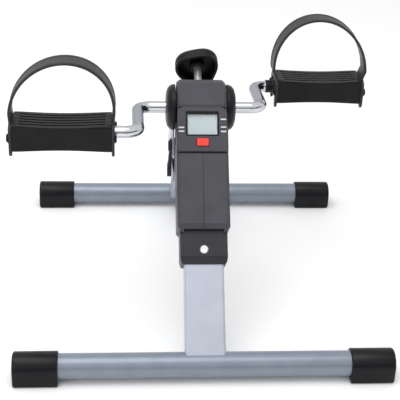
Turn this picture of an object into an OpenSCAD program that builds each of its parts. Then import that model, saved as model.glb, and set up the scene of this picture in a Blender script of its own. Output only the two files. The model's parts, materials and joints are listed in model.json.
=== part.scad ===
// Folding pedal exerciser for arms and legs.
// Millimetres. +X is the user's right, +Y points away from the user, +Z is up.
// The origin lies on the floor, midway between the two floor tubes.

/* [Floor tubes] */
// Length of each floor tube with its end caps
base_w = 375; // [340:5:420]
// Distance between the axes of the two floor tubes
base_depth = 374; // [362:2:386]
// Outside diameter of the floor tubes
floor_tube_d = 25.4; // [24:0.2:26]
// Wall of the steel tubes
tube_wall = 1.5; // [1.2:0.1:2]
// Length of each end cap
cap_len = 44; // [36:1:50]

/* [Legs] */
// Height of the crank axis above the floor
crank_h = 213; // [207:1:219]
// Distance of the crank axis behind the front floor tube
crank_back = 182; // [176:1:188]
// Width of both leg tubes
leg_w = 40; // [38:1:40]
// Thickness of both leg tubes
leg_t = 20; // [18:1:20]

/* [Crank and pedals] */
// Distance from the crank axis to the pedal spindles
crank_throw = 86; // [78:1:92]
// Diameter of the bent crank rod
rod_d = 12; // [11.6:0.1:12]
// Distance from the centre plane to each crank arm
arm_x = 66; // [62:1:68]
// Angle of the left arm above the horizontal, pointing to the user
crank_angle = 5.5; // [-20:0.5:20]
// Distance from the centre plane to the middle of each pedal
pedal_x = 139; // [138:0.5:142]
// Height of the left strap arch above the spindle
left_strap_h = 74; // [70:1:86]
// Height of the right strap arch above the spindle
right_strap_h = 82; // [70:1:90]

/* [Tension knob] */
// Angle of the tension stud above the horizontal
tension_angle = 20; // [16:1:30]
// Distance from the crank axis to the near edge of the knob
knob_reach = 58; // [56:1:64]

/* [Fold lock] */
// Length of the lock lever from its bolt to its tip
lever_len = 36; // [30:1:40]

/* [Hidden] */
$fn = 64;

// Floor tubes
axis_h = 15;
cap_end = 4;
cap_r = 15;
front_y = -base_depth / 2;
rear_y = base_depth / 2;

// Crank axis and the two leg directions
hub = [0, front_y + crank_back, crank_h];
front_angle = atan2(crank_h - axis_h, crank_back);
front_len = norm([crank_h - axis_h, crank_back]);
rear_run = base_depth - crank_back;
rear_angle = atan2(crank_h - axis_h, rear_run);
rear_len = norm([crank_h - axis_h, rear_run]);

// Housing, measured back along the front leg from the crank axis
shell_x = 26.5;
shell_wall = 2.4;
seam_w = 0.8;
hub_r = 28.8;
hub_x = 25.2;
hub_in = 23.4;
leg_top = front_len - 64;
shell_low = front_len - 139;
facet_low = front_len - 131;
facet_top = front_len - 58;
facet_n = 22;
back_n = 15.9;
console_q = front_len - 56.5;
console_n = 24;
console_len = 47;
console_tilt = 4.2;
console_x = 25.5;

// Collar
collar_low = front_len - 170.5;
collar_top = front_len - 134.5;
collar_x = 23.8;
collar_n = 13.5;

// Hub parts
drum_r = 15;
drum_x = 9;
sleeve_d = 20;
bush_d = 16;
run_gap = 0.05;
cheek_x = 20.3;
cheek_t = 3;
washer_x0 = hub_x + 0.2;
plate_x0 = 26.9;
plate_t = 2;
plate_x1 = plate_x0 + plate_t;
cover_r = 24;
cover_x0 = 26.8;
cover_x1 = 36.4;

// Fold lock
lock_r = 42;
lock_dir = 262;
lock_d = 8;
slot_gap = 0.3;
fold_turn = 66;
fan_r = 52;
lever_x0 = plate_x1 + 0.3;
lever_t = 4;
lever_x1 = lever_x0 + 2.6;
grip_top = 13 - lever_len;
lock_nut_t = 5;

// Crank bends
bend_r = 14;

// Pedals
pedal_w = 94.5;
pedal_d = 38;
pedal_h = 28;
pedal_end = 4;
dish = 2.4;
dish_r = (pow(pedal_w / 2, 2) + pow(dish, 2)) / (2 * dish);
tread_cut = 1.2;
tread_pitch = 6.2;
peg_y = 16;
spindle_end = pedal_x + 40;

// Straps
strap_t = 2.8;
strap_w = 24;
strap_x0 = pedal_w / 2 + 0.05;
strap_spring = 22;
strap_lean = 4;
tail_low = -19;

// Tension knob and brake
brake_travel = 1.2;
pad_r = drum_r + 0.2;
pad_t = 2;
shoe_r = 20;
stud_d = 8;
knob_t = 16;
knob_core_r = 19;
knob_lobe_at = 14;
knob_lobe_r = 11.5;
knob_lobes = [76, 196, 316];

// ---- frames and shared shapes -------------------------------------------

// Local Y runs up the front leg, local Z points out of its front face.
module on_front_leg() {
    translate([0, front_y, axis_h]) rotate([front_angle, 0, 0]) children();
}

// Local Y runs down the rear leg from the crank axis, local Z points up and back.
module on_rear_leg() {
    translate(hub) rotate([-rear_angle, 0, 0]) children();
}

// Local Y runs up the console face, local Z points out of it.
module on_console() {
    on_front_leg() translate([0, console_q, console_n]) rotate([console_tilt, 0, 0]) children();
}

// Local Z points out along the tension stud.
module on_stud() {
    translate(hub) rotate([tension_angle - 90, 0, 0]) children();
}

// Local Y follows the right crank arm.
module on_crank() {
    translate(hub) rotate([-crank_angle, 0, 0]) children();
}

// Pedal centre; side is -1 for left and 1 for right.
module on_pedal(side) {
    translate(hub + [side * pedal_x,
        side * crank_throw * cos(crank_angle),
        -side * crank_throw * sin(crank_angle)]) children();
}

// Lock bolt axis.
module on_lock() {
    translate(hub + lock_r * [0, cos(lock_dir), sin(lock_dir)]) children();
}

module x_rod(d, x0, x1) {
    translate([x0, 0, 0]) rotate([0, 90, 0]) cylinder(d = d, h = x1 - x0);
}

module x_tube(d, bore, x0, x1) {
    difference() {
        x_rod(d, x0, x1);
        x_rod(bore, x0 - 1, x1 + 1);
    }
}

// Extrudes a side outline drawn as [along, out] points between two X positions.
module x_slab(x0, x1) {
    translate([x0, 0, 0]) rotate([90, 0, 90]) linear_extrude(x1 - x0) children();
}

module round_rect(w, h, r) {
    square([w - 2 * r, h], center = true);
    square([w, h - 2 * r], center = true);
    for (x = [-1, 1], y = [-1, 1])
        translate([x * (w / 2 - r), y * (h / 2 - r)]) circle(r = r, $fn = 32);
}

module rect_tube(from, to) {
    translate([0, to, 0]) rotate([90, 0, 0]) linear_extrude(to - from) difference() {
        round_rect(leg_w, leg_t, 3);
        round_rect(leg_w - 2 * tube_wall, leg_t - 2 * tube_wall, 1.5);
    }
}

module sector(r, a0, a1) {
    step = (a1 - a0) / 12;
    polygon(concat([[0, 0]], [for (i = [0:12]) r * [cos(a0 + step * i), sin(a0 + step * i)]]));
}

// ---- floor tubes and caps ------------------------------------------------

module floor_tube(y) {
    color([0.60, 0.64, 0.70]) translate([0, y, axis_h])
        x_tube(floor_tube_d, floor_tube_d - 2 * tube_wall, -base_w / 2 + cap_end, base_w / 2 - cap_end);
}

module cap_outline() {
    circle(r = cap_r);
    translate([-cap_r, -axis_h + 2]) square([2 * cap_r, axis_h - 2]);
    translate([-cap_r + 2, -axis_h]) square([2 * cap_r - 4, axis_h]);
    for (s = [-1, 1]) translate([s * (cap_r - 2), -axis_h + 2]) circle(r = 2, $fn = 32);
}

module end_cap(side, y) {
    color([0.05, 0.05, 0.055]) translate([0, y, axis_h]) mirror([side > 0 ? 0 : 1, 0, 0]) difference() {
        x_slab(base_w / 2 - cap_len, base_w / 2) cap_outline();
        x_rod(floor_tube_d, base_w / 2 - cap_len - 1, base_w / 2 - cap_end);
    }
}

// ---- front leg -----------------------------------------------------------

module front_leg() {
    color([0.76, 0.77, 0.82]) difference() {
        on_front_leg() rect_tube(6, leg_top);
        translate([0, front_y, axis_h]) x_rod(floor_tube_d, -leg_w, leg_w);
        on_front_leg() translate([0, collar_low + 14.5, 0]) cylinder(d = 5, h = 20);
        on_front_leg() for (q = bracket_bolt_q) translate([0, q, 0]) x_rod(6, -30, 30);
    }
}

module leg_collar() {
    side = [[collar_low, 11.2], [collar_low + 1, 11.8], [collar_low + 6.5, collar_n],
        [collar_top - 2, collar_n], [collar_top, collar_n - 1.6],
        [collar_top, 1.6 - collar_n], [collar_top - 2, -collar_n],
        [collar_low + 6.5, -collar_n], [collar_low + 1, -11.8], [collar_low, -11.2]];
    front = [[collar_x - 2.4, collar_low], [collar_x - 0.8, collar_low + 2.2],
        [collar_x, collar_low + 6.5], [collar_x, collar_top - 2], [collar_x - 1.4, collar_top],
        [1.4 - collar_x, collar_top], [-collar_x, collar_top - 2], [-collar_x, collar_low + 6.5],
        [0.8 - collar_x, collar_low + 2.2], [2.4 - collar_x, collar_low]];
    color([0.06, 0.06, 0.065]) on_front_leg() difference() {
        intersection() {
            x_slab(-collar_x, collar_x) polygon(side);
            translate([0, 0, -20]) linear_extrude(40) polygon(front);
        }
        translate([0, collar_top + 1, 0]) rotate([90, 0, 0])
            linear_extrude(collar_top - collar_low + 2) round_rect(leg_w, leg_t, 3);
        translate([-30, collar_low + 6.4, collar_n - 0.5]) cube([60, 1.1, 2]);
        translate([0, collar_low + 14.5, 0]) cylinder(d = 5, h = 20);
    }
}

module collar_screw() {
    color([0.85, 0.86, 0.88]) on_front_leg() translate([0, collar_low + 14.5, 0]) {
        translate([0, 0, 4]) cylinder(d = 5, h = collar_n - 4);
        translate([0, 0, collar_n]) difference() {
            union() {
                cylinder(d = 9, h = 1.2);
                translate([0, 0, 1.2]) cylinder(d1 = 9, d2 = 6.4, h = 1.6);
            }
            for (a = [0, 90]) rotate(a) translate([-2.4, -0.5, 1.4]) cube([4.8, 1, 2]);
        }
    }
}

// ---- hub bracket and bearings ---------------------------------------------

bracket_bolt_q = [front_len - 92, front_len - 74];

module bracket_cheek(x0) {
    x_slab(x0, x0 + cheek_t) difference() {
        union() {
            translate([front_len, 0]) circle(r = 17);
            translate([front_len - 102, -11]) square([102, 22]);
        }
        translate([front_len, 0]) circle(d = sleeve_d);
        for (q = bracket_bolt_q) translate([q, 0]) circle(d = 6);
    }
}

module hub_bracket() {
    color([0.55, 0.57, 0.6]) on_front_leg() {
        bracket_cheek(cheek_x);
        bracket_cheek(-cheek_x - cheek_t);
        translate([-cheek_x, front_len - 58, -11]) cube([2 * cheek_x, 24, 3]);
    }
}

module bracket_bolts() {
    color([0.7, 0.7, 0.72]) on_front_leg() for (q = bracket_bolt_q) translate([0, q, 0]) {
        x_rod(6, -cheek_x - cheek_t, cheek_x + cheek_t);
        x_rod(9, -cheek_x - cheek_t - 0.7, -cheek_x - cheek_t);
        x_rod(9, cheek_x + cheek_t, cheek_x + cheek_t + 0.7);
    }
}

module pivot_sleeves() {
    color([0.6, 0.61, 0.63]) translate(hub) for (s = [0, 1]) mirror([s, 0, 0])
        x_tube(sleeve_d, bush_d, 17, 31);
}

module pivot_washers() {
    color([0.85, 0.85, 0.8]) translate(hub) for (s = [0, 1]) mirror([s, 0, 0])
        x_tube(34, sleeve_d, washer_x0, plate_x0 - 0.2);
}

module crank_bushes() {
    color([0.72, 0.58, 0.32]) translate(hub) for (s = [0, 1]) mirror([s, 0, 0]) difference() {
        union() {
            x_rod(bush_d, 17, 31);
            x_rod(19, 31, 32.4);
        }
        x_rod(rod_d + 2 * run_gap, 16, 33);
    }
}

// ---- housing ---------------------------------------------------------------

// Side outline of the housing as [along the leg, out of its front face].
shell_outline = [[shell_low, -back_n], [shell_low, collar_n + 2.6], [facet_low, facet_n],
    [facet_top, facet_n], [console_q + console_len, console_n + 2], [front_len, 20], [front_len, -22],
    [front_len - 24, -34], [front_len - 46, -34], [front_len - 68, -back_n]];

shell_hollow = [[shell_low - 1, shell_wall - back_n], [shell_low - 1, collar_n + 0.1],
    [facet_low + 2, facet_n - shell_wall], [facet_top + 1, facet_n - shell_wall],
    [console_q + console_len - 14, console_n - shell_wall - 2.2], [front_len, 17], [front_len, -19],
    [front_len - 25, -31.6], [front_len - 45, -31.6], [front_len - 67, shell_wall - back_n]];

// Flats on the front of the hub cover, as [direction, half width], in degrees.
hub_flats = [[138, 13.8], [109.5, 15.1]];

// Lock bolt axis on the front leg.
lock_at = [0, front_len + lock_r * cos(lock_dir - front_angle), lock_r * sin(lock_dir - front_angle)];

// Screws that hold the halves together, as [back from the crank axis, out].
housing_screw_at = [[-123, 15.6], [-66, 15.6], [-49, -23], [12, 19.6]];

module screw_bosses(x0, x1) {
    for (p = housing_screw_at) translate([0, front_len + p[0], p[1]]) x_rod(7, x0, x1);
}

module shell_solid(x1) {
    difference() {
        x_slab(0, shell_x) polygon(shell_outline);
        // bevels along the front edges
        translate([shell_x - 3.2, shell_low - 5, facet_n]) rotate([0, 45, 0]) cube([10, 90, 10]);
        translate([shell_x - 5, shell_low, -30]) rotate(45) translate([-2, -12, 0]) cube([14, 12, 60]);
        // raised middle of the lower edge
        translate([-1, shell_low - 1, 13]) cube([21, 4, 20]);
        // groove under the console
        translate([-1, facet_top, facet_n - 2.2]) cube([40, 1.5, 8]);
        // half of the groove where the two halves meet
        x_slab(-1, seam_w / 2) difference() {
            translate([0, -60]) square([front_len + 60, 120]);
            offset(delta = -seam_w) polygon(shell_outline);
        }
    }
    translate([0, front_len, 0]) difference() {
        union() {
            x_rod(2 * hub_r, 0, x1 - 3);
            translate([x1 - 3, 0, 0]) rotate([0, 90, 0]) cylinder(r1 = hub_r, r2 = hub_r - 2.6, h = 3);
        }
        for (f = hub_flats) rotate([f[0] - front_angle, 0, 0])
            translate([-1, hub_r * cos(f[1]), -30]) cube([60, 10, 60]);
        x_tube(2 * hub_r + 8, 2 * hub_r - 3.6, -1, seam_w / 2);
    }
}

module housing_half(side) {
    color([0.10, 0.10, 0.105]) on_front_leg() mirror([side > 0 ? 0 : 1, 0, 0]) difference() {
        union() {
            difference() {
                shell_solid(hub_x);
                difference() {
                    x_slab(-1, shell_x - shell_wall) polygon(shell_hollow);
                    translate([0, front_len, 0]) x_rod(80, hub_in, 40);
                }
                translate([0, front_len, 0]) x_rod(2 * (hub_r - shell_wall), -1, hub_in);
            }
            intersection() {
                screw_bosses(0, shell_x - 1);
                shell_solid(hub_x);
            }
        }
        // centre hub and lock bolt
        translate([0, front_len, 0]) x_rod(sleeve_d, 10, 40);
        translate([0, front_len, 0]) x_rod(80, hub_x, 40);
        if (side < 0) translate(lock_at) x_rod(lock_d, -1, 40);
        // stud bushing on the seam
        translate([0, front_len, 0]) rotate([tension_angle - front_angle - 90, 0, 0])
            cylinder(d = 14, h = 40);
        // opening behind the console
        translate([0, console_q, console_n]) rotate([console_tilt, 0, 0])
            translate([-1, 3, -9]) cube([19, 38, 12]);
        // seat of the console panel
        translate([0, console_q, console_n]) rotate([console_tilt, 0, 0])
            translate([-1, 0, -3]) cube([40, console_len, 12]);
        screw_bores(side);
    }
}

module screw_bores(side) {
    for (p = housing_screw_at) translate([0, front_len + p[0], p[1]]) {
        x_rod(3, -1, side > 0 ? 40 : 16);
        if (side > 0) x_rod(6, hub_x - 4, 40);
    }
}

module housing_screws() {
    color([0.3, 0.3, 0.32]) on_front_leg()
        for (p = housing_screw_at) translate([0, front_len + p[0], p[1]]) {
            x_rod(3, -15, hub_x - 4);
            x_rod(6, hub_x - 4, hub_x - 1.6);
        }
}

// ---- console -----------------------------------------------------------------

window_w = 30.6;
window_h = 21.2;
window_at = 28.4;
button_at = 9.6;
button_w = 12;
button_h = 7.6;

module console_panel() {
    c = 5;
    w = console_x;
    outline = [[-w, 0], [w, 0], [w, console_len - c], [w - c, console_len],
        [c - w, console_len], [-w, console_len - c]];
    color([0.12, 0.12, 0.125]) on_console() difference() {
        translate([0, 0, -3]) linear_extrude(3) polygon(outline);
        translate([0, window_at + 0.8, -4]) linear_extrude(5) round_rect(window_w + 3, window_h + 4.4, 1);
        translate([0, button_at, -4]) linear_extrude(5) round_rect(button_w + 0.4, button_h + 0.4, 1);
    }
}

module console_legend() {
    color([0.92, 0.92, 0.92]) on_console() {
        for (v = [20.2, 24.2]) translate([-24.4, v, 0]) cube([5.6, 1.5, 0.15]);
        for (v = [20.2, 24.8, 33]) translate([18.6, v, 0]) cube([5.6, 1.5, 0.15]);
    }
}

module display_bezel() {
    color([0.03, 0.03, 0.035]) on_console() translate([0, window_at + 0.8, -3])
        linear_extrude(2.6) difference() {
            round_rect(window_w + 3, window_h + 4.4, 1);
            translate([0, -0.8]) square([window_w, window_h], center = true);
        }
}

module display_window() {
    color([0.75, 0.80, 0.82]) on_console() translate([-window_w / 2, window_at - window_h / 2, -2])
        cube([window_w, window_h, 1.2]);
}

module display_cell() {
    color([0.62, 0.67, 0.66]) on_console() translate([-17, window_at - 12, -5.4]) cube([34, 24, 2.4]);
}

module circuit_board() {
    color([0.10, 0.35, 0.18]) on_console() translate([-17.5, 4, -8.6]) cube([35, 37, 1.2]);
}

module button_cell() {
    color([0.75, 0.76, 0.78]) on_console() translate([0, 17, -11.8]) cylinder(d = 20, h = 3.2);
}

module reset_button() {
    color([0.85, 0.16, 0.13]) on_console() translate([0, button_at, 0]) {
        translate([0, 0, -3]) linear_extrude(4.2) round_rect(button_w, button_h, 1);
        translate([0, 0, -4.2]) linear_extrude(1.2) round_rect(button_w + 2, button_h + 2, 1);
    }
}

module reed_sensor() {
    color([0.2, 0.2, 0.22]) on_front_leg() translate([12.4, front_len - 19.5, -2]) cube([3.6, 8, 12]);
}

// ---- rear leg ------------------------------------------------------------------

fork_from = 150;
fork_bolt_at = [184, 198];

module rear_leg() {
    color([0.74, 0.75, 0.80]) difference() {
        on_rear_leg() rect_tube(fork_from, rear_len - 6);
        translate([0, rear_y, axis_h]) x_rod(floor_tube_d, -leg_w, leg_w);
        on_rear_leg() for (q = fork_bolt_at) translate([0, q, 0]) x_rod(6, -30, 30);
    }
}

module rear_leg_plug() {
    color([0.05, 0.05, 0.055]) on_rear_leg() translate([0, fork_from, 0]) rotate([90, 0, 0]) {
        linear_extrude(2.4) round_rect(leg_w - 1, leg_t - 1, 2.5);
        translate([0, 0, -12]) linear_extrude(12)
            round_rect(leg_w - 2 * tube_wall - 0.2, leg_t - 2 * tube_wall - 0.2, 1.4);
    }
}

// Plate seen from its edge: straight beside the housing, then bent in to the tube.
module fork_edge() {
    x0 = plate_x0;
    x1 = plate_x1;
    xi = leg_w / 2;
    polygon([[x0, -60], [x1, -60], [x1, 110], [xi + plate_t, 172], [xi + plate_t, 206],
        [xi, 206], [xi, 172], [x0, 110]]);
}

lock_turn = lock_dir - 360 + rear_angle;

module fork_outline(side) {
    circle(r = 20);
    translate([0, -12]) square([206, 24]);
    if (side < 0) intersection() {
        circle(r = fan_r);
        sector(fan_r * 3, lock_turn - 11, lock_turn + fold_turn + 12);
    }
}

module lock_slot() {
    w = lock_d / 2 + slot_gap;
    intersection() {
        difference() {
            circle(r = lock_r + w);
            circle(r = lock_r - w);
        }
        sector(lock_r * 3, lock_turn, lock_turn + fold_turn + 0.5);
    }
    for (a = [lock_turn, lock_turn + fold_turn + 0.5]) rotate(a) translate([lock_r, 0]) circle(r = w - 0.1);
}

module fork_plate(side) {
    color([0.78, 0.79, 0.83]) on_rear_leg() mirror([side > 0 ? 0 : 1, 0, 0]) intersection() {
        translate([0, 0, -60]) linear_extrude(120) fork_edge();
        x_slab(0, 40) difference() {
            fork_outline(side);
            circle(d = sleeve_d + 2 * run_gap);
            if (side < 0) lock_slot();
            for (q = fork_bolt_at) translate([q, 0]) circle(d = 6);
        }
    }
}

module fork_bolts() {
    x1 = leg_w / 2 + plate_t;
    color([0.8, 0.8, 0.82]) on_rear_leg() for (q = fork_bolt_at) translate([0, q, 0]) {
        x_rod(6, -x1, x1);
        for (s = [0, 1]) mirror([s, 0, 0]) translate([x1, 0, 0]) rotate([0, 90, 0])
            cylinder(d1 = 10, d2 = 6, h = 2.6);
    }
}

module cover_shape() {
    rotate([0, 90, 0]) rotate_extrude() polygon([[6.6, cover_x1], [12, cover_x1], [16, cover_x1 - 0.4],
        [20, cover_x1 - 1.8], [22.6, cover_x1 - 4], [cover_r, cover_x1 - 7],
        [cover_r, cover_x0], [21.5, cover_x0], [21.5, cover_x1 - 6.6], [18, cover_x1 - 3.4],
        [6.6, cover_x1 - 2.4]]);
}

module side_cover(side) {
    color([0.08, 0.08, 0.085]) translate(hub) mirror([side > 0 ? 0 : 1, 0, 0]) difference() {
        cover_shape();
        rotate([-rear_angle, 0, 0]) x_slab(20, plate_x1) fork_outline(side);
    }
}

// ---- fold lock -------------------------------------------------------------------

module lock_bolt() {
    color([0.2, 0.2, 0.21]) on_lock() {
        x_rod(lock_d, -lever_x1, -hub_in + lock_nut_t);
        x_rod(11, -lever_x1 - 1.2, -lever_x1);
    }
}

module lock_nut() {
    color([0.72, 0.73, 0.75]) on_lock() translate([-hub_in + 0.1, 0, 0]) rotate([0, 90, 0]) difference() {
        cylinder(d = 14, h = lock_nut_t, $fn = 6);
        translate([0, 0, -1]) cylinder(d = lock_d, h = 10);
    }
}

module lock_lever() {
    color([0.22, 0.22, 0.24]) on_lock() difference() {
        union() {
            x_rod(15, -lever_x1 + 0.3, -lever_x0);
            // arm, thinnest at the boss
            rotate([90, 0, 0]) translate([0, 0, -5]) linear_extrude(10)
                polygon([[-lever_x0, -2], [-lever_x0, grip_top], [-lever_x0 - lever_t, grip_top],
                    [-lever_x1 + 0.3, -2]]);
        }
        x_rod(lock_d + 2 * run_gap, -60, 0);
    }
}

module lever_grip() {
    color([0.03, 0.03, 0.03]) on_lock() x_slab(-lever_x0 - lever_t - 0.4, -lever_x0) {
        translate([-5.5, 5.5 - lever_len]) square([11, grip_top + lever_len - 5.5]);
        translate([0, 5.5 - lever_len]) circle(r = 5.5);
    }
}

// ---- crank -------------------------------------------------------------------------

module crank_half() {
    x_rod(rod_d, 0, arm_x - bend_r);
    translate([arm_x - bend_r, bend_r, 0]) rotate(-90)
        rotate_extrude(angle = 90) translate([bend_r, 0]) circle(d = rod_d);
    translate([arm_x, crank_throw - bend_r, 0]) rotate([90, 0, 0])
        cylinder(d = rod_d, h = crank_throw - 2 * bend_r);
    translate([arm_x + bend_r, crank_throw - bend_r, 0]) rotate(90)
        rotate_extrude(angle = 90) translate([bend_r, 0]) circle(d = rod_d);
    translate([0, crank_throw, 0]) x_rod(rod_d, arm_x + bend_r, spindle_end);
}

module crank_rod() {
    color([0.86, 0.87, 0.90]) on_crank() {
        crank_half();
        rotate(180) crank_half();
    }
}

module friction_drum() {
    color([0.5, 0.5, 0.52]) translate(hub) difference() {
        x_tube(2 * drum_r, rod_d, -drum_x, drum_x);
        translate([0, 0, 11]) x_rod(4, drum_x - 2, drum_x + 1);
    }
}

module sensor_magnet() {
    color([0.4, 0.4, 0.42]) translate(hub) translate([0, 0, 11]) x_rod(4, drum_x - 2, drum_x + 0.6);
}

module spindle_sleeve() {
    color([0.05, 0.05, 0.05]) on_crank() translate([0, crank_throw, 0]) difference() {
        union() {
            x_rod(14.4, arm_x + bend_r, arm_x + bend_r + 7);
            translate([arm_x + bend_r + 7, 0, 0]) rotate([0, 90, 0])
                cylinder(d1 = 14.4, d2 = 19, h = pedal_x - pedal_w / 2 - arm_x - bend_r - 7.4);
        }
        x_rod(rod_d, arm_x, pedal_x);
    }
}

// ---- pedals ------------------------------------------------------------------------

module dish_cutter(extra) {
    for (s = [-1, 1]) translate([0, 0, s * (pedal_h / 2 - dish + dish_r)]) rotate([90, 0, 0])
        cylinder(r = dish_r + extra, h = 80, center = true, $fn = 360);
}

module pedal_body(side) {
    half = pedal_w / 2 - pedal_end;
    color([0.09, 0.09, 0.095]) on_pedal(side) difference() {
        x_slab(-half, half) round_rect(pedal_d, pedal_h, 3);
        dish_cutter(0);
        // tread grooves on both faces
        intersection() {
            dish_cutter(tread_cut);
            for (i = [-2:2]) translate([2 - half, i * tread_pitch - 1.1, -20])
                cube([2 * half - 4, 2.2, 40]);
        }
        // hollow chambers on both sides of the spindle
        for (s = [-1, 1]) translate([-half - 1, s * 12.6 - 3.3, -7.5]) cube([2 * half + 2, 6.6, 15]);
        x_rod(bush_d, -half - 1, half + 1);
    }
}

module pedal_ends(side) {
    half = pedal_w / 2;
    color([0.11, 0.11, 0.115]) on_pedal(side) for (s = [0, 1]) mirror([s, 0, 0]) difference() {
        union() {
            x_slab(half - pedal_end, half) round_rect(pedal_d, pedal_h, 3);
            for (y = [-peg_y, peg_y]) translate([0, y, 0]) {
                x_rod(6, half, half + 3.1);
                translate([half + 3.1, 0, 0]) rotate([0, 90, 0]) cylinder(d1 = 9.6, d2 = 7, h = 1.8);
            }
        }
        if (s == (side > 0 ? 1 : 0)) x_rod(bush_d, half - 5, half + 1);
    }
}

module pedal_bushes(side) {
    half = pedal_w / 2;
    color([0.85, 0.84, 0.78]) on_pedal(side) mirror([side > 0 ? 0 : 1, 0, 0]) {
        x_tube(bush_d, rod_d + 2 * run_gap, -half, 10 - half);
        x_tube(bush_d, rod_d + 2 * run_gap, 24, 34);
    }
}

module pedal_clip(side) {
    color([0.6, 0.6, 0.62]) on_pedal(side) mirror([side > 0 ? 0 : 1, 0, 0])
        x_tube(15, rod_d, 34.4, 36);
}

// ---- straps ----------------------------------------------------------------------------

// Half ellipse whose top is shifted sideways by lean.
function arch(rx, rz, lean) = [for (i = [0:32]) let (a = i * 180 / 32)
    [rx * cos(a) + lean * sin(a), strap_spring + rz * sin(a)]];

module strap_end_outline() {
    w = strap_w / 2;
    polygon([[-w, strap_spring + 2], [w, strap_spring + 2], [w, 14], [peg_y + 4.5, 8],
        [peg_y + 4.5, tail_low + 3], [peg_y, tail_low], [peg_y - 4, tail_low + 3],
        [peg_y - 4.5, 8], [peg_y - 7.5, 10.5], [7.5 - peg_y, 10.5], [4.5 - peg_y, 8],
        [4 - peg_y, tail_low + 3], [-peg_y, tail_low],
        [-peg_y - 4.5, tail_low + 3], [-peg_y - 4.5, 8], [-w, 14]]);
}

module strap(side) {
    lean = -side * strap_lean;
    half = side < 0 ? 50.8 : 53;
    rise = (side < 0 ? left_strap_h : right_strap_h) - strap_spring;
    color([0.16, 0.16, 0.165]) on_pedal(side) {
        rotate([90, 0, 0]) linear_extrude(strap_w, center = true) difference() {
            polygon(arch(half, rise, lean));
            polygon(concat(arch(half - strap_t, rise - strap_t, lean),
                [[strap_t - half, strap_spring - 1], [half - strap_t, strap_spring - 1]]));
        }
        for (s = [0, 1]) mirror([s, 0, 0]) {
            difference() {
                x_slab(strap_x0, strap_x0 + strap_t) difference() {
                    strap_end_outline();
                    for (y = [-peg_y, peg_y]) translate([y, 0]) circle(d = 6);
                }
                translate([0, -30, 14]) cube([60, 60, 20]);
            }
            rotate([90, 0, 0]) linear_extrude(strap_w, center = true)
                polygon([[strap_x0, 14], [strap_x0 + strap_t, 14],
                    [half, strap_spring], [half - strap_t, strap_spring]]);
        }
    }
}

// ---- tension knob and brake -----------------------------------------------------------

module tension_bushing() {
    color([0.7, 0.65, 0.45]) on_stud() difference() {
        union() {
            translate([0, 0, 22.7]) cylinder(d = 18, h = 2);
            translate([0, 0, 24.7]) cylinder(d = 14, h = 5.7);
        }
        translate([0, 0, 20]) cylinder(d = stud_d + 2 * run_gap, h = 20);
    }
}

// Ring piece around the drum, opened by the brake travel.
module shoe_ring(r0, r1, half_turn, half_x) {
    translate([0, 0, brake_travel]) rotate([0, 90, 0]) rotate(180)
        translate([0, 0, -half_x]) linear_extrude(2 * half_x) intersection() {
            difference() {
                circle(r = r1);
                circle(r = r0);
            }
            sector(r1 * 2, -half_turn, half_turn);
        }
}

module brake_pad() {
    color([0.45, 0.40, 0.32]) on_stud() shoe_ring(pad_r, pad_r + pad_t, 38, drum_x - 0.5);
}

module brake_shoe() {
    color([0.5, 0.51, 0.53]) on_stud() difference() {
        union() {
            shoe_ring(pad_r + pad_t, shoe_r, 40, drum_x);
            translate([0, 0, 19]) cylinder(d = 14, h = 3.4);
        }
        translate([0, 0, 20.2]) cylinder(d = stud_d + 2 * run_gap, h = 10);
    }
}

module tension_stud() {
    color([0.86, 0.87, 0.88]) on_stud() translate([0, 0, 20.5])
        cylinder(d = stud_d, h = knob_reach + 12 - 20.5);
}

module knob_outline(grow) {
    circle(r = knob_core_r + grow);
    for (a = knob_lobes) rotate(a) translate([knob_lobe_at, 0]) circle(r = knob_lobe_r + grow);
}

module tension_knob() {
    color([0.05, 0.05, 0.055]) on_stud() translate([0, 0, knob_reach]) difference() {
        union() {
            difference() {
                linear_extrude(knob_t) knob_outline(0);
                translate([0, 0, -1]) linear_extrude(knob_t - 3) knob_outline(-2.8);
            }
            translate([0, 0, 5]) cylinder(d = 16, h = knob_t - 6);
            for (a = knob_lobes) rotate(a) translate([6, -0.9, 8]) cube([16, 1.8, knob_t - 9]);
        }
        translate([0, 0, -1]) cylinder(d = stud_d, h = 13);
    }
}

// ---- what is drawn -------------------------------------------------------------------------

floor_tube(front_y);  // front_floor_tube
end_cap(-1, front_y);  // front_cap_left
end_cap(1, front_y);  // front_cap_right
front_leg();
leg_collar();
collar_screw();
hub_bracket();
bracket_bolts();
pivot_sleeves();
pivot_washers();
crank_bushes();
housing_half(-1);  // housing_left
housing_half(1);  // housing_right
housing_screws();
console_panel();
console_legend();
display_bezel();
display_window();
display_cell();
circuit_board();
button_cell();
reed_sensor();
tension_bushing();
lock_bolt();
lock_nut();
reset_button();
floor_tube(rear_y);  // rear_floor_tube
end_cap(-1, rear_y);  // rear_cap_left
end_cap(1, rear_y);  // rear_cap_right
rear_leg();
rear_leg_plug();
fork_plate(-1);  // fork_plate_left
fork_plate(1);  // fork_plate_right
fork_bolts();
side_cover(-1);  // side_cover_left
side_cover(1);  // side_cover_right
crank_rod();
friction_drum();
sensor_magnet();
spindle_sleeve();
pedal_body(-1);  // left_pedal
pedal_ends(-1);  // left_pedal_ends
pedal_bushes(-1);  // left_pedal_bushes
pedal_clip(-1);  // left_pedal_clip
strap(-1);  // left_strap
pedal_body(1);  // right_pedal
pedal_ends(1);  // right_pedal_ends
pedal_bushes(1);  // right_pedal_bushes
pedal_clip(1);  // right_pedal_clip
strap(1);  // right_strap
brake_shoe();
brake_pad();
tension_stud();
tension_knob();
lock_lever();
lever_grip();
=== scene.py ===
"""Looks of the folding pedal exerciser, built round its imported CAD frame."""

import json
import math

import bmesh
import bpy
from mathutils import Matrix, Vector


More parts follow.
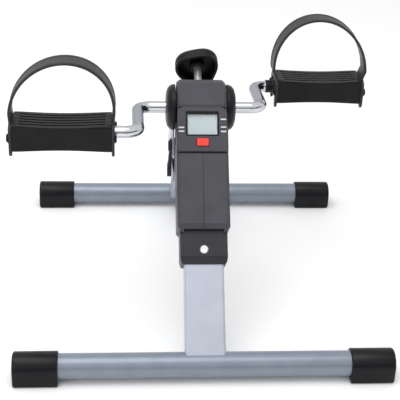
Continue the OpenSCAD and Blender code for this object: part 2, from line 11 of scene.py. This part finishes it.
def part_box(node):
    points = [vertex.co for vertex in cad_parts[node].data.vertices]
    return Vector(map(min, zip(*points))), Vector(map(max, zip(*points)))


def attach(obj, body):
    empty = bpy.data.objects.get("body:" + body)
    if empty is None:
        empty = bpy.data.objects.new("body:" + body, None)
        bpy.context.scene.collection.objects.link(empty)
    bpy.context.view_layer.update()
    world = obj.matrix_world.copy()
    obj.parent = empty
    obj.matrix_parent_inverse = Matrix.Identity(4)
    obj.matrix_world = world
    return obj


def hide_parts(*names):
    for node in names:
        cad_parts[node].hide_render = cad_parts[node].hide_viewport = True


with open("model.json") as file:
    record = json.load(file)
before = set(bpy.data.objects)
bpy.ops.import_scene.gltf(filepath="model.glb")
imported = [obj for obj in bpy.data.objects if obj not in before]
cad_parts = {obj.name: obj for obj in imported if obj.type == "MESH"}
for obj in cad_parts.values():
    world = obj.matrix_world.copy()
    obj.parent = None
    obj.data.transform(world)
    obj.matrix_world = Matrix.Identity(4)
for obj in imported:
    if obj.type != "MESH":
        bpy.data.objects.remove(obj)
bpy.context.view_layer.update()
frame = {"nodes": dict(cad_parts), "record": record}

MM = 0.001
SIDES = ("left", "right")


# ---- measures taken from the frame ------------------------------------------

def extent(node):
    """Size of a CAD node's box."""
    low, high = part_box(node)
    return Vector(high) - Vector(low)


def joint(name):
    """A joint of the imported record."""
    return next(j for j in frame["record"]["behaviour"]["joints"] if j["name"] == name)


HUB = Vector(joint("crank_spin")["pos_m"])
PEDAL_AT = {side: Vector(joint(f"{side}_pedal_spin")["pos_m"]) for side in SIDES}
STUD_AXIS = Vector(joint("tension_knob_turn")["axis"]).normalized()


# ---- materials --------------------------------------------------------------

def new_material(name, colour, roughness, metallic=0.0, coat=0.0, specular=0.5):
    """A Principled material with its even values set on the shader itself."""
    mat = bpy.data.materials.new(name)
    mat.use_nodes = True
    shader = mat.node_tree.nodes["Principled BSDF"]
    shader.inputs["Base Color"].default_value = (*colour, 1)
    shader.inputs["Roughness"].default_value = roughness
    shader.inputs["Metallic"].default_value = metallic
    shader.inputs["Coat Weight"].default_value = coat
    shader.inputs["Coat Roughness"].default_value = 0.12
    shader.inputs["Specular IOR Level"].default_value = specular
    return mat, shader


def noise(mat, scale, detail=4.0, stretch=(1, 1, 1)):
    """Noise in object space, stretched along the axes."""
    nodes, links = mat.node_tree.nodes, mat.node_tree.links
    coord = nodes.new("ShaderNodeTexCoord")
    mapping = nodes.new("ShaderNodeMapping")
    mapping.inputs["Scale"].default_value = stretch
    texture = nodes.new("ShaderNodeTexNoise")
    texture.inputs["Scale"].default_value = scale
    texture.inputs["Detail"].default_value = detail
    links.new(coord.outputs["Object"], mapping.inputs["Vector"])
    links.new(mapping.outputs["Vector"], texture.inputs["Vector"])
    return texture.outputs["Fac"]


def spread(mat, source, low, high):
    """Maps the middle of a noise value's range onto low to high."""
    node = mat.node_tree.nodes.new("ShaderNodeMapRange")
    node.inputs["From Min"].default_value = 0.3
    node.inputs["From Max"].default_value = 0.7
    node.inputs["To Min"].default_value = low
    node.inputs["To Max"].default_value = high
    mat.node_tree.links.new(source, node.inputs["Value"])
    return node.outputs["Result"]


def tint(mat, shader, source, dark, light):
    """Base colour that wanders between two close tones."""
    ramp = mat.node_tree.nodes.new("ShaderNodeValToRGB")
    ramp.color_ramp.elements[0].position = 0.3
    ramp.color_ramp.elements[0].color = (*dark, 1)
    ramp.color_ramp.elements[1].position = 0.7
    ramp.color_ramp.elements[1].color = (*light, 1)
    mat.node_tree.links.new(source, ramp.inputs["Fac"])
    mat.node_tree.links.new(ramp.outputs["Color"], shader.inputs["Base Color"])


def bumpy(mat, shader, source, strength, distance):
    """Surface relief from a height value."""
    bump = mat.node_tree.nodes.new("ShaderNodeBump")
    bump.inputs["Strength"].default_value = strength
    bump.inputs["Distance"].default_value = distance
    mat.node_tree.links.new(source, bump.inputs["Height"])
    mat.node_tree.links.new(bump.outputs["Normal"], shader.inputs["Normal"])


def painted_steel(name, dark, light):
    """Silver paint with a faint mottle and a clear coat."""
    mat, shader = new_material(name, light, 0.38, metallic=0.35, coat=0.25)
    tint(mat, shader, noise(mat, 60), dark, light)
    roughness = spread(mat, noise(mat, 140), 0.34, 0.44)
    mat.node_tree.links.new(roughness, shader.inputs["Roughness"])
    bumpy(mat, shader, noise(mat, 900, 2), 0.08, 0.0002)
    return mat


def moulded_plastic(name, dark, light, rough_low, rough_high, grain=1400, relief=0.18):
    """Moulded plastic with a fine spark-eroded grain."""
    mat, shader = new_material(name, light, rough_low, specular=0.22)
    tint(mat, shader, noise(mat, 45), dark, light)
    roughness = spread(mat, noise(mat, 220), rough_low, rough_high)
    mat.node_tree.links.new(roughness, shader.inputs["Roughness"])
    bumpy(mat, shader, noise(mat, grain, 3), relief, 0.0002)
    return mat


def bare_metal(name, colour, rough_low, rough_high, grain_stretch=(1, 1, 1)):
    """Unpainted metal, plated or not, with slight polishing streaks."""
    mat, shader = new_material(name, colour, rough_low, metallic=1.0)
    shader.inputs["Specular Tint"].default_value = (*(0.8 * c for c in colour), 1)
    roughness = spread(mat, noise(mat, 90, stretch=grain_stretch), rough_low, rough_high)
    mat.node_tree.links.new(roughness, shader.inputs["Roughness"])
    return mat


def felt_material():
    """Matted grey-brown felt."""
    mat, shader = new_material("felt", (0.40, 0.36, 0.29), 0.95)
    tint(mat, shader, noise(mat, 500), (0.30, 0.27, 0.21), (0.46, 0.41, 0.33))
    bumpy(mat, shader, noise(mat, 900, 6), 0.6, 0.0006)
    return mat


def clear_window():
    """Thin clear plastic over the display."""
    mat, shader = new_material("clear_window", (0.95, 0.98, 1.0), 0.05)
    shader.inputs["Transmission Weight"].default_value = 1.0
    shader.inputs["IOR"].default_value = 1.2
    return mat


def display_glass_painted_glow():
    """Pale reflective liquid crystal cell, made to glow faintly as painted light."""
    mat, shader = new_material("display", (0.52, 0.57, 0.57), 0.35)
    tint(mat, shader, noise(mat, 25), (0.49, 0.54, 0.54), (0.55, 0.60, 0.60))
    # Emission gives the unlit cell a faint glow: painted light, not a backlight.
    shader.inputs["Emission Color"].default_value = (0.52, 0.57, 0.57, 1)
    shader.inputs["Emission Strength"].default_value = 0.25
    return mat


def circuit_material():
    """Green lacquered circuit board."""
    mat, shader = new_material("circuit", (0.03, 0.18, 0.07), 0.4, coat=0.4)
    tint(mat, shader, noise(mat, 300, 1), (0.02, 0.13, 0.05), (0.04, 0.22, 0.09))
    return mat


TUBE_PAINT = painted_steel("tube_paint", (0.21, 0.245, 0.30), (0.24, 0.275, 0.335))
LEG_PAINT = painted_steel("leg_paint", (0.43, 0.46, 0.54), (0.47, 0.50, 0.58))
CAP_BLACK = moulded_plastic("cap_black", (0.004, 0.004, 0.006), (0.007, 0.007, 0.009), 0.30, 0.40)
COLLAR_BLACK = moulded_plastic("collar_black", (0.028, 0.028, 0.033), (0.036, 0.036, 0.042), 0.36, 0.46)
HOUSING_BLACK = moulded_plastic("housing_black", (0.054, 0.054, 0.064), (0.066, 0.066, 0.078), 0.36, 0.48)
PEDAL_BLACK = moulded_plastic("pedal_black", (0.003, 0.003, 0.004), (0.006, 0.006, 0.008), 0.36, 0.48)
KNOB_BLACK = moulded_plastic("knob_black", (0.003, 0.003, 0.004), (0.006, 0.006, 0.007), 0.36, 0.48)
STRAP_RUBBER = moulded_plastic("strap_rubber", (0.028, 0.028, 0.031), (0.038, 0.038, 0.042), 0.36, 0.50, 700)
BEZEL_BLACK = moulded_plastic("bezel_black", (0.004, 0.004, 0.005), (0.006, 0.006, 0.007), 0.12, 0.20,
                              2000, 0.03)
LEVER_BLACK = moulded_plastic("lever_black", (0.022, 0.022, 0.025), (0.032, 0.032, 0.036), 0.35, 0.48)
BUTTON_RED = moulded_plastic("button_red", (0.76, 0.055, 0.035), (0.86, 0.075, 0.05), 0.35, 0.45, 1400, 0.05)
NYLON = moulded_plastic("nylon", (0.62, 0.60, 0.52), (0.70, 0.68, 0.60), 0.40, 0.50, 1400, 0.05)
INK_WHITE = moulded_plastic("ink_white", (0.58, 0.58, 0.60), (0.66, 0.66, 0.68), 0.45, 0.55, 1400, 0.03)
CHROME = bare_metal("chrome", (0.66, 0.67, 0.71), 0.12, 0.20)
# Zinc made paler than the plain zinc: painted light that lifts the stud out of the knob's shade. The collar
# screw shares it.
ZINC_PAINTED_BRIGHT = bare_metal("zinc_painted_bright", (0.88, 0.89, 0.90), 0.38, 0.50)
ZINC = bare_metal("zinc", (0.62, 0.63, 0.65), 0.22, 0.34, (1, 6, 1))
RAW_STEEL = bare_metal("raw_steel", (0.42, 0.43, 0.45), 0.34, 0.50, (1, 8, 1))
BRONZE = bare_metal("bronze", (0.55, 0.38, 0.17), 0.30, 0.42)
FELT = felt_material()
WINDOW = clear_window()
DISPLAY_PAINTED_GLOW = display_glass_painted_glow()
CIRCUIT = circuit_material()

NODE_FINISH = {
    TUBE_PAINT: ["front_floor_tube", "rear_floor_tube"],
    LEG_PAINT: ["front_leg", "rear_leg", "fork_plate_left", "fork_plate_right"],
    CAP_BLACK: ["front_cap_left", "front_cap_right", "rear_cap_left", "rear_cap_right",
                "side_cover_left", "side_cover_right", "rear_leg_plug", "pivot_washers"],
    COLLAR_BLACK: ["leg_collar"],
    HOUSING_BLACK: ["housing_left", "housing_right", "console_panel"],
    BEZEL_BLACK: ["display_bezel", "reed_sensor"],
    PEDAL_BLACK: ["left_pedal", "right_pedal", "left_pedal_ends", "right_pedal_ends", "spindle_sleeve"],
    KNOB_BLACK: ["tension_knob"],
    LEVER_BLACK: ["lock_lever", "lever_grip", "lock_bolt"],
    STRAP_RUBBER: ["left_strap", "right_strap"],
    BUTTON_RED: ["reset_button"],
    INK_WHITE: ["console_legend"],
    NYLON: ["left_pedal_bushes", "right_pedal_bushes"],
    CHROME: ["crank_rod"],
    ZINC_PAINTED_BRIGHT: ["tension_stud", "collar_screw"],
    ZINC: ["bracket_bolts", "lock_nut", "fork_bolts", "housing_screws", "button_cell",
           "left_pedal_clip", "right_pedal_clip"],
    RAW_STEEL: ["hub_bracket", "pivot_sleeves", "friction_drum", "brake_shoe", "sensor_magnet"],
    BRONZE: ["crank_bushes", "tension_bushing"],
    FELT: ["brake_pad"],
    WINDOW: ["display_window"],
    DISPLAY_PAINTED_GLOW: ["display_cell"],
    CIRCUIT: ["circuit_board"],
}


def paint(obj, mat):
    """Gives an object one material, its mesh untouched."""
    if not obj.material_slots:
        obj.data.materials.append(mat)
    for slot in obj.material_slots:
        slot.link = "OBJECT"
        slot.material = mat


def soften(obj, width):
    """Rounds a CAD node's sharp edges with modifiers."""
    weld = obj.modifiers.new("weld", "WELD")
    weld.merge_threshold = 0.01 * MM
    bevel = obj.modifiers.new("bevel", "BEVEL")
    bevel.width = width
    bevel.segments = 2
    bevel.limit_method = "ANGLE"
    bevel.angle_limit = math.radians(32)
    bevel.use_clamp_overlap = True
    normals = obj.modifiers.new("normals", "WEIGHTED_NORMAL")
    normals.keep_sharp = True


for finish, names in NODE_FINISH.items():
    for name in names:
        paint(frame["nodes"][name], finish)


# ---- mesh helpers -----------------------------------------------------------

def new_piece(name, vertices, faces, mat, sharp=35):
    """A smooth-shaded mesh object whose edges past the given angle stay crisp."""
    mesh = bpy.data.meshes.new(name)
    mesh.from_pydata([tuple(v) for v in vertices], [], faces)
    shape = bmesh.new()
    shape.from_mesh(mesh)
    bmesh.ops.recalc_face_normals(shape, faces=shape.faces)
    shape.to_mesh(mesh)
    shape.free()
    mesh.shade_smooth()
    mesh.set_sharp_from_angle(angle=math.radians(sharp))
    mesh.materials.append(mat)
    obj = bpy.data.objects.new(name, mesh)
    bpy.context.collection.objects.link(obj)
    return obj


def skin(rings, cap_first=True, cap_last=True):
    """Vertices and faces over a stack of closed rings with equal point counts."""
    count = len(rings[0])
    vertices = [point for ring in rings for point in ring]
    faces = []
    for k in range(len(rings) - 1):
        for i in range(count):
            j = (i + 1) % count
            faces.append((k * count + i, k * count + j, (k + 1) * count + j, (k + 1) * count + i))
    if cap_first:
        faces.append(tuple(range(count))[::-1])
    if cap_last:
        faces.append(tuple(range((len(rings) - 1) * count, len(rings) * count)))
    return vertices, faces


def merged(*shells):
    """Several vertex and face lists as one."""
    vertices, faces = [], []
    for points, polygons in shells:
        start = len(vertices)
        vertices += points
        faces += [tuple(start + i for i in polygon) for polygon in polygons]
    return vertices, faces


def stand_in(obj, node, body):
    """Shows a new piece in place of a CAD node."""
    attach(obj, body)
    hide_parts(node)


def arc_points(centre, radius, start, end, steps):
    """Points on a circular arc, angles in degrees."""
    cx, cy = centre
    turns = [math.radians(start + (end - start) * k / steps) for k in range(steps + 1)]
    return [(cx + radius * math.cos(a), cy + radius * math.sin(a)) for a in turns]


# ---- floor tube end caps ----------------------------------------------------

CAP_EDGE = 2.2 * MM
CAP_EDGE_STEPS = 6
CAP_CORNER = 2.5 * MM
CAP_LIP = 1.0 * MM
CAP_MOUTH_DEPTH = 3.0 * MM


def cap_outline(half, centre_h, inset):
    """Arched outline in the Y-Z plane: flat foot, straight sides, round top."""
    side = half - inset
    corner_y = side - CAP_CORNER
    corner_h = inset + CAP_CORNER
    points = arc_points((0, centre_h), side, 0, 180, 28)
    points += arc_points((-corner_y, corner_h), CAP_CORNER, 180, 270, 6)
    points += arc_points((corner_y, corner_h), CAP_CORNER, 270, 360, 6)
    return points


def end_cap(node, body):
    """Moulded cap with rounded end edges and a small lip round its mouth."""
    low, high = (Vector(v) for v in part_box(node))
    outer_end = low.x if abs(low.x) > abs(high.x) else high.x
    mouth = high.x if outer_end == low.x else low.x
    inward = 1 if mouth > outer_end else -1
    half = (high.y - low.y) / 2
    mid_y = (high.y + low.y) / 2
    centre_h = high.z - half
    bore = extent("front_floor_tube").z / 2
    stations = []
    for k in range(CAP_EDGE_STEPS + 1):
        turn = math.radians(90 * (CAP_EDGE_STEPS - k) / CAP_EDGE_STEPS)
        along = CAP_EDGE * (1 - math.sin(turn))
        stations.append((outer_end + inward * along, CAP_EDGE * (1 - math.cos(turn))))
    for back, inset in ((1.0, 0.0), (0.3, 0.3), (0.0, 1.0)):
        stations.append((mouth - inward * back * CAP_LIP, inset * CAP_LIP))
    rings = []
    for x, inset in stations:
        rings.append([(x, mid_y + y, z) for y, z in cap_outline(half, centre_h, inset)])
    outline = cap_outline(half, centre_h, 0)
    for depth in (0.0, CAP_MOUTH_DEPTH):
        ring = []
        for y, z in outline:
            away = Vector((y, z - centre_h)).normalized() * bore
            ring.append((mouth - inward * depth, mid_y + away.x, centre_h + away.y))
        rings.append(ring)
    obj = new_piece(f"{node}_moulding", *skin(rings, cap_last=False), CAP_BLACK, sharp=60)
    stand_in(obj, node, body)


for place, body in (("front", "front_frame"), ("rear", "rear_frame")):
    for side in SIDES:
        end_cap(f"{place}_cap_{side}", body)


# ---- tension knob -----------------------------------------------------------

KNOB_ROUND = 22.9 * MM
KNOB_LOBE = 2.0 * MM
KNOB_LOBE_TURN = 76
KNOB_BASE = 58 * MM
KNOB_PLAN_STEPS = 96


def stud_point(across, along):
    """A point given in the stud's cross section and by its distance from the hub."""
    side = STUD_AXIS.cross(Vector((1, 0, 0)))
    return HUB + Vector((1, 0, 0)) * across[0] + side * across[1] + STUD_AXIS * along


def knob_ring(inset, along, share=1.0):
    """Rounded triangle, drawn in by an inset and then shrunk to a share."""
    ring = []
    for k in range(KNOB_PLAN_STEPS):
        turn = 2 * math.pi * k / KNOB_PLAN_STEPS
        lobe = math.cos(3 * (turn - math.radians(KNOB_LOBE_TURN)))
        reach = (KNOB_ROUND + KNOB_LOBE * lobe - inset) * share
        ring.append(stud_point((reach * math.cos(turn), reach * math.sin(turn)), along))
    return ring


def round_ring(radius, along, steps=48):
    """Circle about the stud at a distance from the hub."""
    turns = [2 * math.pi * k / steps for k in range(steps)]
    return [stud_point((radius * math.cos(a), radius * math.sin(a)), along) for a in turns]


def tension_knob():
    """Hollow three-lobed knob: rolled rim, grip band, domed face, boss round the stud.

    Each pair is the distance drawn in (the radius for the boss) and the height above KNOB_BASE,
    in millimetres.
    """
    profile = [(3.4, 12.6), (2.8, 0.9), (2.2, 0.2), (1.4, 0.0), (0.6, 0.25), (0.1, 0.9), (0.0, 1.8),
               (0.0, 4.6), (0.5, 5.0), (0.7, 5.4), (0.5, 5.8), (0.1, 6.3), (0.1, 10.0), (0.5, 12.4),
               (1.4, 14.2), (2.8, 15.4), (4.8, 15.9)]
    rings = [knob_ring(inset * MM, KNOB_BASE + along * MM) for inset, along in profile]
    last_inset, last_along = profile[-1]
    for share in (0.8, 0.5, 0.2):
        rings.append(knob_ring(last_inset * MM, KNOB_BASE + last_along * MM, share))
    boss_profile = [(4.1, 12.6), (4.1, 5.3), (4.6, 4.9), (7.5, 4.9), (8.0, 5.4), (8.0, 12.6)]
    boss = [round_ring(radius * MM, KNOB_BASE + along * MM) for radius, along in boss_profile]
    shape = merged(skin(rings), skin(boss, cap_first=False, cap_last=False))
    stand_in(new_piece("tension_knob_moulding", *shape, KNOB_BLACK, sharp=50),
             "tension_knob", "knob")


tension_knob()


# ---- foot straps ------------------------------------------------------------

STRAP_THICK = 2.8 * MM
STRAP_WIDTH = 24 * MM
STRAP_ROUND = 0.9 * MM
STRAP_RIB = 2.4 * MM
STRAP_SINK = 0.45 * MM
STRAP_SPRING = 22 * MM
STRAP_FOOT = 12 * MM
STRAP_KNEE = 14 * MM
STRAP_SPLAY = 0.1 * MM
STRAP_LEAN = 4 * MM
STRAP_STEPS = 56
PEG_Y = 16 * MM
PEG_HOLE = 3.05 * MM
PEG_REACH = 4.85 * MM
# Half of the forked end in millimetres, from the band's edge down round the tail
FORK_HALF = [(12, 14.5), (16, 12.8), (19.6, 10.4), (20.4, 7), (20.4, -14.6), (19.4, -16.6), (16, -18.8),
             (12.6, -16.6), (11.7, -14.6), (11.7, 7), (8.6, 10.4)]


def strap_section():
    """Closed section with a raised bead along both edges, as [across, outward] points."""
    half_w, half_t = STRAP_WIDTH / 2, STRAP_THICK / 2
    inner_w, inner_t = half_w - STRAP_ROUND, half_t - STRAP_ROUND
    step = 0.5 * MM
    section = arc_points((inner_w, inner_t), STRAP_ROUND, 0, 90, 4)
    section += [(half_w - STRAP_RIB, half_t), (half_w - STRAP_RIB - step, half_t - STRAP_SINK),
                (STRAP_RIB + step - half_w, half_t - STRAP_SINK), (STRAP_RIB - half_w, half_t)]
    section += arc_points((-inner_w, inner_t), STRAP_ROUND, 90, 180, 4)
    section += arc_points((-inner_w, -inner_t), STRAP_ROUND, 180, 270, 4)
    section += arc_points((inner_w, -inner_t), STRAP_ROUND, 270, 360, 4)
    return section


def strap_path(side_sign, half, rise, foot_x):
    """Centre line from one pedal end over to the other, as [x, z] points."""
    path = [(-foot_x, STRAP_FOOT), (-foot_x - STRAP_SPLAY, STRAP_KNEE)]
    for k in range(STRAP_STEPS + 1):
        turn = math.pi * (1 - k / STRAP_STEPS)
        path.append((half * math.cos(turn) - side_sign * STRAP_LEAN * math.sin(turn),
                     STRAP_SPRING + rise * math.sin(turn)))
    return path + [(foot_x + STRAP_SPLAY, STRAP_KNEE), (foot_x, STRAP_FOOT)]


def swept_band(path, section, centre):
    """Section carried along a path that lies in the X-Z plane."""
    rings = []
    for k, (x, z) in enumerate(path):
        before = Vector(path[max(k - 1, 0)])
        after = Vector(path[min(k + 1, len(path) - 1)])
        along = (after - before).normalized()
        outward = Vector((-along.y, 0, along.x))
        rings.append([centre + Vector((x, across, z)) + outward * out for across, out in section])
    return skin(rings)


def rounded_plate(outline, holes, thick, edge):
    """Flat plate with rounded edges and round holes, from its outline in the X-Y plane."""
    curve = bpy.data.curves.new("plate", "CURVE")
    curve.dimensions = "2D"
    curve.fill_mode = "BOTH"
    curve.extrude = thick / 2 - edge
    curve.bevel_depth = edge
    curve.bevel_resolution = 2
    curve.offset = -edge
    for points in [outline] + holes:
        spline = curve.splines.new("POLY")
        spline.points.add(len(points) - 1)
        for spot, (x, y) in zip(spline.points, points):
            spot.co = (x, y, 0, 1)
        spline.use_cyclic_u = True
    holder = bpy.data.objects.new("plate", curve)
    mesh = bpy.data.meshes.new_from_object(holder)
    shell = ([v.co.copy() for v in mesh.vertices], [tuple(p.vertices) for p in mesh.polygons])
    bpy.data.objects.remove(holder)
    bpy.data.curves.remove(curve)
    bpy.data.meshes.remove(mesh)
    return shell


def strap_fork():
    """Forked strap end: two tails with a peg hole each, joined above the spindle."""
    half = [(y * MM, z * MM) for y, z in FORK_HALF]
    outline = half + [(-y, z) for y, z in reversed(half)]
    holes = [arc_points((y, 0), PEG_HOLE, 360, 15, 23) for y in (-PEG_Y, PEG_Y)]
    return rounded_plate(outline, holes, STRAP_THICK, 0.7 * MM)


def foot_strap(side):
    """Arched band with a forked end on each side of the pedal."""
    sign = -1 if side == "left" else 1
    centre = PEDAL_AT[side]
    low, high = (Vector(v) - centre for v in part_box(f"{side}_strap"))
    ends = extent(f"{side}_pedal_ends")
    rise = high.z - STRAP_SPRING - STRAP_THICK / 2
    half = (high.x - low.x) / 2 - STRAP_THICK / 2
    foot_x = ends.x / 2 - PEG_REACH + STRAP_THICK / 2
    shells = [swept_band(strap_path(sign, half, rise, foot_x), strap_section(), centre)]
    points, faces = strap_fork()
    for end in (-1, 1):
        turned = [centre + Vector((end * foot_x + p.z, p.x, p.y)) for p in points]
        shells.append((turned, faces))
    stand_in(new_piece(f"{side}_strap_moulding", *merged(*shells), STRAP_RUBBER, sharp=40),
             f"{side}_strap", f"pedal_{side}")


for side in SIDES:
    foot_strap(side)


# ---- edges of the CAD pieces ------------------------------------------------

# Bevel widths in millimetres
EDGE_WIDTH = {
    "housing_left": 0.9, "housing_right": 0.9, "console_panel": 0.7, "leg_collar": 0.8,
    "reset_button": 0.5, "display_bezel": 0.25, "left_pedal_ends": 0.8, "right_pedal_ends": 0.8,
    "fork_plate_left": 0.4, "fork_plate_right": 0.4, "lock_lever": 0.6, "lever_grip": 1.2,
    "left_pedal": 0.35, "right_pedal": 0.35,
    "side_cover_left": 0.6, "side_cover_right": 0.6, "collar_screw": 0.35, "lock_nut": 0.4,
    "fork_bolts": 0.4, "front_leg": 0.3, "rear_leg": 0.3,
}
for name, width in EDGE_WIDTH.items():
    soften(frame["nodes"][name], width * MM)


# ---- floor, light and camera ------------------------------------------------

def floor():
    """Wide pale ground plane."""
    mat, _ = new_material("floor", (0.97, 0.97, 0.97), 0.6)
    span = 25.0
    corners = [(-span, -span, 0), (span, -span, 0), (span, span, 0), (-span, span, 0)]
    obj = new_piece("floor", corners, [(0, 1, 2, 3)], mat)


def area_light(name, place, aim, size, power):
    """Rectangular soft box turned towards a point."""
    data = bpy.data.lights.new(name, "AREA")
    data.shape = "RECTANGLE"
    data.size, data.size_y = size
    data.energy = power
    obj = bpy.data.objects.new(name, data)
    obj.location = place
    obj.rotation_euler = (Vector(aim) - Vector(place)).to_track_quat("-Z", "Y").to_euler()
    bpy.context.collection.objects.link(obj)


def surroundings():
    """A bright room that is dim low down on the photographer's side, and two soft boxes."""
    world = bpy.data.worlds.new("studio")
    world.use_nodes = True
    nodes, links = world.node_tree.nodes, world.node_tree.links
    coord = nodes.new("ShaderNodeTexCoord")
    split = nodes.new("ShaderNodeSeparateXYZ")
    ramp = nodes.new("ShaderNodeValToRGB")
    stops = ramp.color_ramp.elements
    stops[0].position, stops[0].color = 0.0, (0.8, 0.8, 0.8, 1)
    stops[1].position, stops[1].color = 1.0, (1, 1, 1, 1)
    for position, level in ((0.02, 0.10), (0.22, 0.12), (0.42, 0.95)):
        stop = stops.new(position)
        stop.color = (level, level, level, 1)
    links.new(coord.outputs["Generated"], split.inputs["Vector"])
    links.new(split.outputs["Z"], ramp.inputs["Fac"])
    behind = nodes.new("ShaderNodeMapRange")
    behind.inputs["From Min"].default_value = -0.35
    behind.inputs["From Max"].default_value = 0.15
    links.new(split.outputs["Y"], behind.inputs["Value"])
    room = nodes.new("ShaderNodeMix")
    room.data_type = "RGBA"
    room.inputs["B"].default_value = (0.9, 0.9, 0.9, 1)
    links.new(behind.outputs["Result"], room.inputs["Factor"])
    links.new(ramp.outputs["Color"], room.inputs["A"])
    links.new(room.outputs["Result"], nodes["Background"].inputs["Color"])
    nodes["Background"].inputs["Strength"].default_value = 0.92
    bpy.context.scene.world = world
    area_light("overhead", (-0.3, -0.3, 1.9), (0, 0, 0.15), (1.6, 1.2), 17)
    area_light("fill", (-1.4, -1.5, 0.9), (0, 0, 0.12), (1.2, 1.2), 6)


# Place in metres, then yaw, pitch and roll in degrees, then lens in millimetres
CAMERA_PLACE = (-0.0812, -1.0053, 0.6179)
CAMERA_TURN = (4.85, 27.14, 2.28)
CAMERA_LENS = 92.2


def photo_camera():
    """Camera a metre in front of the object, a little to its left, looking down."""
    data = bpy.data.cameras.new("camera")
    data.lens = CAMERA_LENS
    data.sensor_width = 36
    obj = bpy.data.objects.new("camera", data)
    yaw, pitch, roll = (math.radians(a) for a in CAMERA_TURN)
    ahead = Vector((math.sin(yaw) * math.cos(pitch), math.cos(yaw) * math.cos(pitch), -math.sin(pitch)))
    right = Vector((math.cos(yaw), -math.sin(yaw), 0))
    up = right.cross(ahead)
    turned_right = right * math.cos(roll) + up * math.sin(roll)
    turned_up = up * math.cos(roll) - right * math.sin(roll)
    axes = Matrix((turned_right, turned_up, -ahead)).transposed().to_4x4()
    obj.matrix_world = Matrix.Translation(CAMERA_PLACE) @ axes
    bpy.context.collection.objects.link(obj)
    bpy.context.scene.camera = obj


floor()
surroundings()
photo_camera()
bpy.context.scene.view_settings.view_transform = "Standard"
